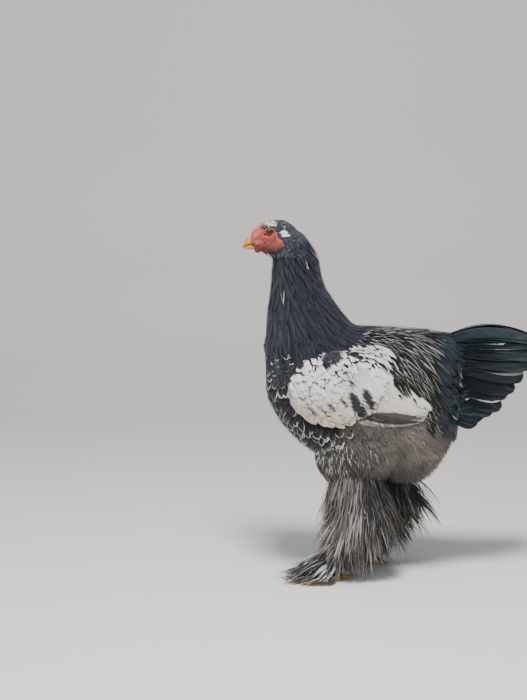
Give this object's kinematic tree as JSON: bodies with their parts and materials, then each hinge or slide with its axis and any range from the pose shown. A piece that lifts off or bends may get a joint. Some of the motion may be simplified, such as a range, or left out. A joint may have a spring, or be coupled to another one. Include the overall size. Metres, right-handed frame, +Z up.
{
  "type": "bird model",
  "caption": "Life-size still model of a young dark Brahma cockerel with a pea comb, folded wings, short tail and feathered legs and toes.",
  "frame": {"origin": "on the floor, under the middle of the bird's box", "axes": "+Z up; the bird faces -X with its left side towards -Y"},
  "size_m": [0.5169, 0.2086, 0.6224],
  "materials": {
    "black_feather": "satin",
    "white_feather": "matt",
    "grey_fluff": "matt",
    "tail_feather": "satin",
    "face_skin": "satin",
    "horn": "satin",
    "toe_skin": "satin",
    "eye": "gloss"
  },
  "bodies": {
    "root": {"head": "face_skin", "beak_upper": "horn", "beak_lower": "horn", "neck": "black_feather", "torso": "black_feather", "tail": "tail_feather", "eye_left": "eye", "wing_left": "white_feather", "thigh_left": "grey_fluff", "shank_left": "grey_fluff", "foot_left": "toe_skin", "claw_middle_left": "horn", "claw_inner_left": "horn", "claw_outer_left": "horn", "claw_hind_left": "horn", "eye_right": "eye", "wing_right": "white_feather", "thigh_right": "grey_fluff", "shank_right": "grey_fluff", "foot_right": "toe_skin", "claw_middle_right": "horn", "claw_inner_right": "horn", "claw_outer_right": "horn", "claw_hind_right": "horn"}
  },
  "joints": []
}
